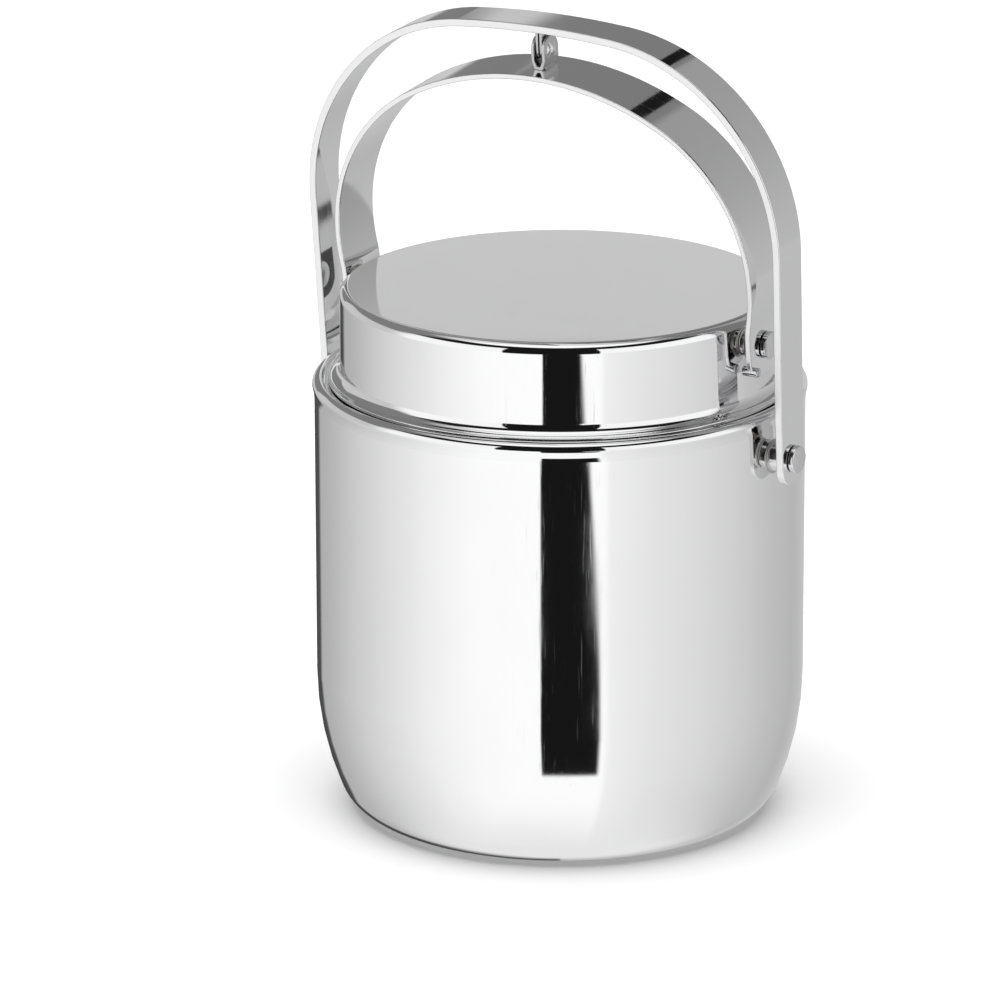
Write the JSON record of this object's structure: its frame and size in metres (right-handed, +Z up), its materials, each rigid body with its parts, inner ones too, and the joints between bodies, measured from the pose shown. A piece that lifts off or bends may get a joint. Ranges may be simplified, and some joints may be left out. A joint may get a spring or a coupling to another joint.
{
  "type": "ice bucket",
  "caption": "Round double-walled steel ice bucket with a lift-up lid, carried by two joined flat-strip bail handles that raise the lid when swung.",
  "frame": {"origin": "centre of the base, on the surface that the bucket stands on", "axes": "+Z up; +X towards one pair of bail studs, so that both bails turn about lines along X; -Y the side that the bails swing to"},
  "size_m": [0.1618, 0.1462, 0.2419],
  "materials": {
    "polished_steel": "mirror polished stainless steel",
    "bail_steel": "bright strip steel with polished faces and ground edges",
    "liner_steel": "spun satin stainless steel",
    "fitting_steel": "turned and barrel-polished steel",
    "nylon": "natural nylon"
  },
  "bodies": {
    "bucket": {"outer_shell": "polished_steel", "inner_liner": "liner_steel", "left_handle_boss": "fitting_steel", "left_handle_washer": "nylon", "left_handle_rivet": "fitting_steel", "right_handle_boss": "fitting_steel", "right_handle_washer": "nylon", "right_handle_rivet": "fitting_steel"},
    "outer_bail": {"outer_handle": "bail_steel", "link_tongue": "fitting_steel"},
    "inner_bail": {"inner_handle": "bail_steel", "link_clevis": "fitting_steel", "link_rivet": "fitting_steel", "left_stop_pin": "fitting_steel", "right_stop_pin": "fitting_steel"},
    "lid": {"lid_shell": "polished_steel", "lid_pan": "liner_steel", "left_lid_boss": "fitting_steel", "left_lid_washer": "nylon", "left_lid_rivet": "fitting_steel", "right_lid_boss": "fitting_steel", "right_lid_washer": "nylon", "right_lid_rivet": "fitting_steel"}
  },
  "joints": [
    {"name": "handle_swing", "type": "hinge", "parent": "bucket", "child": "outer_bail", "pos_m": [0, 0, 0.118], "axis": [1, 0, 0], "range_deg": [0, 75]},
    {"name": "link_hinge", "type": "hinge", "parent": "outer_bail", "child": "inner_bail", "pos_m": [0, -0.00883, 0.23276], "axis": [1, 0, 0], "range_deg": [0, 33]},
    {"name": "lid_hinge", "type": "hinge", "parent": "inner_bail", "child": "lid", "pos_m": [0, 0, 0.1511], "axis": [1, 0, 0], "range_deg": [-108, 0]}
  ],
  "couplings": [
    {"joint": "link_hinge", "follows": "handle_swing", "ratio": 0.44},
    {"joint": "lid_hinge", "follows": "handle_swing", "ratio": -1.44}
  ]
}
